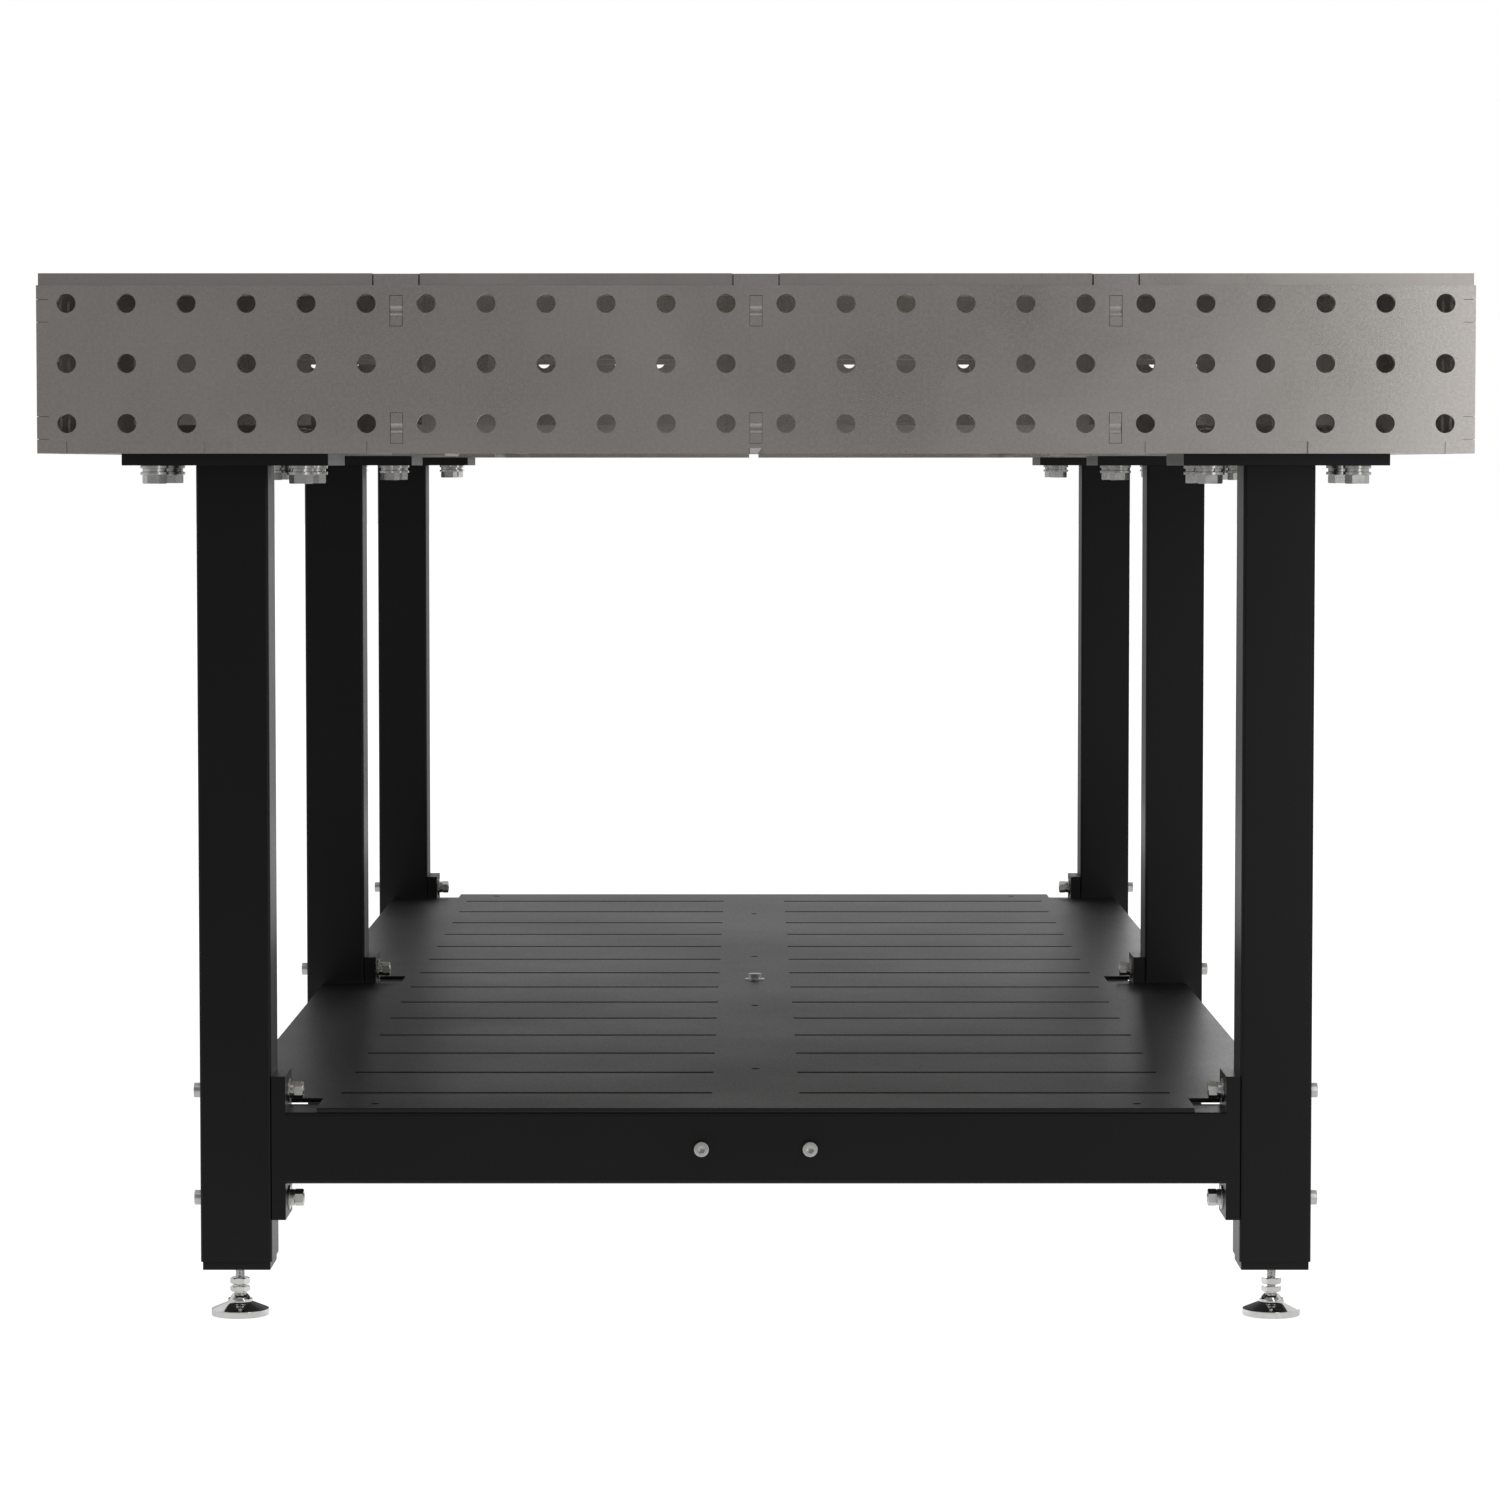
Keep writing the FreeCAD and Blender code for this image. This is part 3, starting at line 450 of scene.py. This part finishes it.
# M12: the head's width across flats, the thread's radius, pitch and length, then the washers' inner
# and outer radii
BIG_ACROSS, BIG_RADIUS, BIG_PITCH, BIG_THREADED = 18.0, 6.0, 1.75, 13.0
BIG_FLAT, BIG_SPLIT = (6.5, 12.0), (6.2, 10.25)
big_reach = box("leg_bolts")[1].y - BIG_ACROSS / 2 - leg_centre["rear_left"].y

big_head = big_stack_low - big_head_low
big_bolt = hex_bolt(BIG_ACROSS, big_head, BIG_RADIUS, BIG_PITCH, big_end - big_stack_low, BIG_THREADED)
big_washer = flat_washer(*BIG_FLAT, plate_low - spring_high)
big_spring = spring_washer(*BIG_SPLIT, spring_high - spring_low)
UP, DOWN = (0, 0, 1), (0, 0, -1)
# Degrees from one leg, one corner of its plate, or one beam joint to the next, so that no two match
LEG_TURN, QUARTER_TURN, BOLT_TURN, SLIT_TURN = 77.0, 131.0, 13.0, 97.0
bolts, washers, springs = [], [], []
for index, corner in enumerate(CORNERS):
    for quarter, (dx, dy) in enumerate(((-1, -1), (1, -1), (1, 1), (-1, 1))):
        x, y = leg_centre[corner].x + dx * big_reach, leg_centre[corner].y + dy * big_reach
        bolts.append(placed(big_bolt, (x, y, big_stack_low), DOWN))
        washers += [placed(big_washer, (x, y, plate_low), DOWN),
                    placed(big_washer, (x, y, spring_low), DOWN)]
        springs.append(placed(big_spring, (x, y, spring_high), DOWN,
                              LEG_TURN * index + QUARTER_TURN * quarter))
piece("leg_hex_bolts", "root", "zinc_fasteners", ["leg_bolts"], *bolts)
piece("leg_flat_washers", "root", "zinc_fasteners", ["leg_bolt_washers"], *washers)
piece("leg_spring_washers", "root", "zinc_fasteners", ["leg_bolt_spring_washers"], *springs)

beam_low, beam_high = box("front_cross_beam")
long_low, long_high = box("front_long_beam")
long_flange_high = box("long_beam_flanges")[1]
# M8: the socket head's radius and height, the heights of what is stacked on the bolt and of the end
# that stands out of the nut, the washers' radii, then the thread, the hexagons, the socket, and how
# much of the bolts and of the shelf's screw is threaded
HEAD_RADIUS, HEAD, WASHER, SPRING, NUT, TAIL = 6.5, 8.0, 1.6, 3.5, 8.0, 0.5
SMALL_FLAT, SMALL_SPLIT = (4.5, 10.5), (4.2, 7.25)
SMALL_RADIUS, SMALL_PITCH, SMALL_BORE, SMALL_ACROSS = 4.0, 1.25, 3.5, 13.0
SOCKET, SOCKET_DEPTH, BOLT_THREADED, SCREW_THREADED = 6.0, 5.5, 14.0, 16.0
LONG_BOLT_INSET = 15.5
bolt_low, bolt_high = box("beam_bolts")[0].z + HEAD_RADIUS, box("beam_bolts")[1].z - HEAD_RADIUS
beam_middle = (beam_low.z + beam_high.z) / 2
long_bolt_x = long_flange_high.x - LONG_BOLT_INSET
# Every beam joint: the point under its bolt's head, the outward axis, and the grip
joints = []
for corner in CORNERS:
    side = -1 if corner.endswith("left") else 1
    outer = abs(leg_centre[corner].x) + (beam_high.y - beam_low.y) / 2
    for z in (bolt_low, bolt_high):
        joints.append(((side * outer, leg_centre[corner].y, z), (side, 0, 0), outer - beam_high.x))
for x in (-long_bolt_x, long_bolt_x):
    for side in (-1, 1):
        joints.append(((x, side * abs(beam_low.y), beam_middle), (0, side, 0),
                       abs(beam_low.y) - abs(long_low.y)))
    joints.append(((x, long_high.y, beam_middle), (0, -1, 0), -2 * long_high.y))
beam_washer = flat_washer(*SMALL_FLAT, WASHER)
beam_spring = spring_washer(*SMALL_SPLIT, SPRING)
beam_nut = hex_nut(SMALL_ACROSS, NUT, SMALL_BORE)
bolts, nuts, washers, springs = [], [], [], []
for index, (point, outward, grip) in enumerate(joints):
    length = grip + WASHER + SPRING + NUT + TAIL
    bolt = socket_bolt(HEAD_RADIUS, HEAD, SOCKET, SOCKET_DEPTH, SMALL_RADIUS, SMALL_PITCH, length,
                       BOLT_THREADED)
    back = -grip - WASHER
    bolts.append(placed(bolt, point, outward, BOLT_TURN * index))
    washers.append(placed(lifted(beam_washer, back), point, outward))
    springs.append(placed(lifted(beam_spring, back - SPRING), point, outward, SLIT_TURN * index))
    nuts.append(placed(lifted(beam_nut, back - SPRING - NUT), point, outward))
shelf_top = box("shelf")[1].z
screw_low, screw_high = box("shelf_screw")
screw = hex_bolt(SMALL_ACROSS, screw_high.z - shelf_top - WASHER, SMALL_RADIUS, SMALL_PITCH,
                 shelf_top + WASHER - screw_low.z, SCREW_THREADED)
washers.append(placed(beam_washer, (0, 0, shelf_top), UP))
piece("beam_socket_bolts", "root", "zinc_fasteners", ["beam_bolts"], *bolts)
piece("beam_hex_nuts", "root", "zinc_fasteners", ["beam_nuts"], *nuts)
piece("small_flat_washers", "root", "zinc_fasteners", ["m8_washers"], *washers)
piece("beam_split_washers", "root", "zinc_fasteners", ["beam_spring_washers"], *springs)
piece("shelf_hex_screw", "root", "zinc_fasteners", ["shelf_screw"],
      placed(screw, (0, 0, shelf_top + WASHER), UP))

# ---------------------------------------------------------------- levelling feet

BALL_RADIUS, SOCKET_RADIUS, BALL_HEIGHT = 9.7, 10.0, 11.0
HEX_LOW, HEX_HIGH, FOOT_ACROSS = 20.6, 25.4, 15.0


def foot_pad():
    """Turned pad: rounded rim, cone, and a collar round the ball's socket."""
    radius, collar, top, lip_drop = 25.0, 10.8, 14.5, 0.4
    profile = [(radius - 0.6, 0), (radius - 0.15, 0.15), (radius, 0.6)]
    profile += arc(radius - 0.5, 5.4, 0.5, 0, 67, 4)
    profile += [(collar + 1.0, 11.2), (collar + 0.35, 11.6), (collar, 12.1)]
    profile += [(collar, top - lip_drop), (collar - 0.1, top - 0.1), (collar - lip_drop, top)]
    lip = math.degrees(math.asin((top - lip_drop - BALL_HEIGHT) / SOCKET_RADIUS))
    profile += arc(0, BALL_HEIGHT, SOCKET_RADIUS, lip, -85, 14)
    return lathe(profile, FINE_SEGMENTS, first="flat", last="flat")


def foot_stud():
    """Ball, neck, hexagon and threaded stud in one."""
    neck, stud_seat, tucked = 4.6, 3.4, 0.1
    up = math.degrees(math.acos(neck / BALL_RADIUS))
    ball = arc(0, BALL_HEIGHT, BALL_RADIUS, -84, up, 22)
    low = lathe(ball + [(neck, HEX_LOW + 0.3)], FINE_SEGMENTS, first="flat")
    hexagon = skin([ring(neck - 0.5, HEX_LOW)] + hex_rings(FOOT_ACROSS, HEX_LOW, HEX_HIGH, 1.0, 1.0) +
                   [ring(stud_seat, HEX_HIGH)])
    stud = skin(thread(SMALL_RADIUS, SMALL_PITCH, HEX_HIGH - tucked, foot_top, high_chamfer=1.0),
                last="flat")
    return joined(low, hexagon, stud)


foot_top = box("foot_screw_front_left")[1].z
nut_low, nut_high = box("foot_nut_front_left")
pad_shape, stud_shape = foot_pad(), foot_stud()
nut_shape = lifted(hex_nut(FOOT_ACROSS, nut_high.z - nut_low.z, SMALL_BORE), nut_low.z)
for corner in CORNERS:
    centre = (leg_centre[corner].x, leg_centre[corner].y, 0)
    piece(f"levelling_pad_{corner}", f"pad_{corner}", "foot_chrome", [f"foot_pad_{corner}"],
          placed(pad_shape, centre, UP))
    piece(f"levelling_stud_{corner}", f"screw_{corner}", "foot_chrome", [f"foot_screw_{corner}"],
          placed(stud_shape, centre, UP))
    piece(f"levelling_nut_{corner}", f"screw_{corner}", "foot_chrome", [f"foot_nut_{corner}"],
          placed(nut_shape, centre, UP))

# ---------------------------------------------------------------- floor, light and camera

# The floor lies low enough for the feet to be seen whole when they are screwed right out.
FLOOR_REACH, FLOOR_LEVEL = 60.0, -0.032
HALF_WIDTH, HALF_LENGTH = 0.6, 1.2
floor_mesh = bpy.data.meshes.new("floor")
floor_mesh.from_pydata([(x * FLOOR_REACH, y * FLOOR_REACH, FLOOR_LEVEL)
                        for x, y in ((-1, -1), (1, -1), (1, 1), (-1, 1))], [], [(0, 1, 2, 3)])
floor = bpy.data.objects.new("floor", floor_mesh)
bpy.context.scene.collection.objects.link(floor)
floor_paint = Nodes("floor_paint")
# The floor glows most under the table and less away from it; the camera sees the same white all over.
spot = floor_paint.add("ShaderNodeSeparateXYZ", {0: floor_paint.where})
beyond_x = floor_paint.maths("SUBTRACT", floor_paint.maths("ABSOLUTE", spot.outputs["X"], 0.0), HALF_WIDTH)
beyond_y = floor_paint.maths("SUBTRACT", floor_paint.maths("ABSOLUTE", spot.outputs["Y"], 0.0), HALF_LENGTH)
beyond = floor_paint.maths("MAXIMUM", beyond_x, beyond_y)
glow = floor_paint.maths("MAXIMUM", floor_paint.ramp(beyond, -0.6, 0.15, 1.2, 0.2),
                         floor_paint.ramp(beyond, 0.0, 1.6, 0.55, 0.2))
camera_ray = floor_paint.add("ShaderNodeLightPath").outputs["Is Camera Ray"]
emission = floor_paint.add("ShaderNodeMix", {0: camera_ray, 2: glow, 3: 1.0}, data_type="FLOAT").outputs[0]
floor_mesh.materials.append(floor_paint.set(
    Base_Color=colour(0.3, 0.3, 0.3), Roughness=0.9, Emission_Color=colour(1, 1, 1),
    Emission_Strength=emission))
floor_paint.shader.inputs["Specular IOR Level"].default_value = 0.0

world = bpy.data.worlds.new("studio")
bpy.context.scene.world = world
world.use_nodes = True
sky = world.node_tree
sky.nodes.clear()


def sky_ramp(source, low, high, out_low, out_high):
    """Smooth step of a world value."""
    return add_node(sky, "ShaderNodeMapRange", {
        "Value": source, "From Min": low, "From Max": high, "To Min": out_low,
        "To Max": out_high}, interpolation_type="SMOOTHSTEP").outputs[0]


def sky_mix(share, a, b):
    return add_node(sky, "ShaderNodeMix", {0: share, 2: a, 3: b}, data_type="FLOAT").outputs[0]


direction = add_node(sky, "ShaderNodeTexCoord").outputs["Generated"]
parts = add_node(sky, "ShaderNodeSeparateXYZ", {0: direction})
across = add_node(sky, "ShaderNodeMath", {0: parts.outputs["X"]}, operation="ABSOLUTE").outputs[0]
# Dim in front of the table, brighter behind it, brightest at its sides
back = sky_ramp(parts.outputs["Y"], -0.55, 0.45, 0.2, 0.47)
around = sky_mix(sky_ramp(across, 0.5, 0.95, 0.0, 1.0), back, 0.8)
# Above that, brighter again towards the back, and even overhead
upper = sky_ramp(parts.outputs["Y"], -0.3, 0.4, 0.22, 0.72)
lower_sky = sky_mix(sky_ramp(parts.outputs["Z"], 0.12, 0.42, 0.0, 1.0), around, upper)
studio = sky_mix(sky_ramp(parts.outputs["Z"], 0.6, 0.9, 0.0, 1.0), lower_sky, 0.6)
# The camera sees plain white
seen = add_node(sky, "ShaderNodeLightPath").outputs["Is Camera Ray"]
strength = sky_mix(seen, studio, 1.0)
backdrop = add_node(sky, "ShaderNodeBackground", {"Color": colour(1, 1, 1), "Strength": strength})
add_node(sky, "ShaderNodeOutputWorld", {"Surface": backdrop.outputs[0]})


def softbox(name, place, aim, width, height, power):
    """Rectangular area light at a place, facing a point, that the camera doesn't see."""
    light = bpy.data.lights.new(name, "AREA")
    light.shape = "RECTANGLE"
    light.size, light.size_y = width, height
    light.energy = power
    obj = bpy.data.objects.new(name, light)
    bpy.context.scene.collection.objects.link(obj)
    obj.location = place
    obj.rotation_euler = (Vector(aim) - Vector(place)).to_track_quat("-Z", "Y").to_euler()
    obj.visible_camera = False


softbox("front_strip", (0.95, -2.5, 1.0), (0.3, -1.2, 0.9), 0.4, 2.0, 3.8)
softbox("rear_panel", (1.07, 3.0, 0.75), (1.07, 0.0, 0.75), 0.94, 1.1, 4.4)
softbox("fill_below", (0.0, 0.0, 0.3), (0.0, 0.001, 1.0), 0.7, 2.0, 2.0)
softbox("rear_strip", (1.7, 2.6, 0.75), (0.3, -0.6, 0.3), 1.0, 1.3, 3.0)

camera_data = bpy.data.cameras.new("camera")
camera_data.lens = 120
camera_data.sensor_width = 36
# Degrees that the camera looks down
CAMERA_DROOP = 3.262
camera = bpy.data.objects.new("camera", camera_data)
bpy.context.scene.collection.objects.link(camera)
camera.location = (-0.005, -5.381, 0.7404)
camera.rotation_euler = (math.radians(90 - CAMERA_DROOP), 0, 0)
bpy.context.scene.camera = camera
bpy.context.scene.view_settings.view_transform = "Standard"
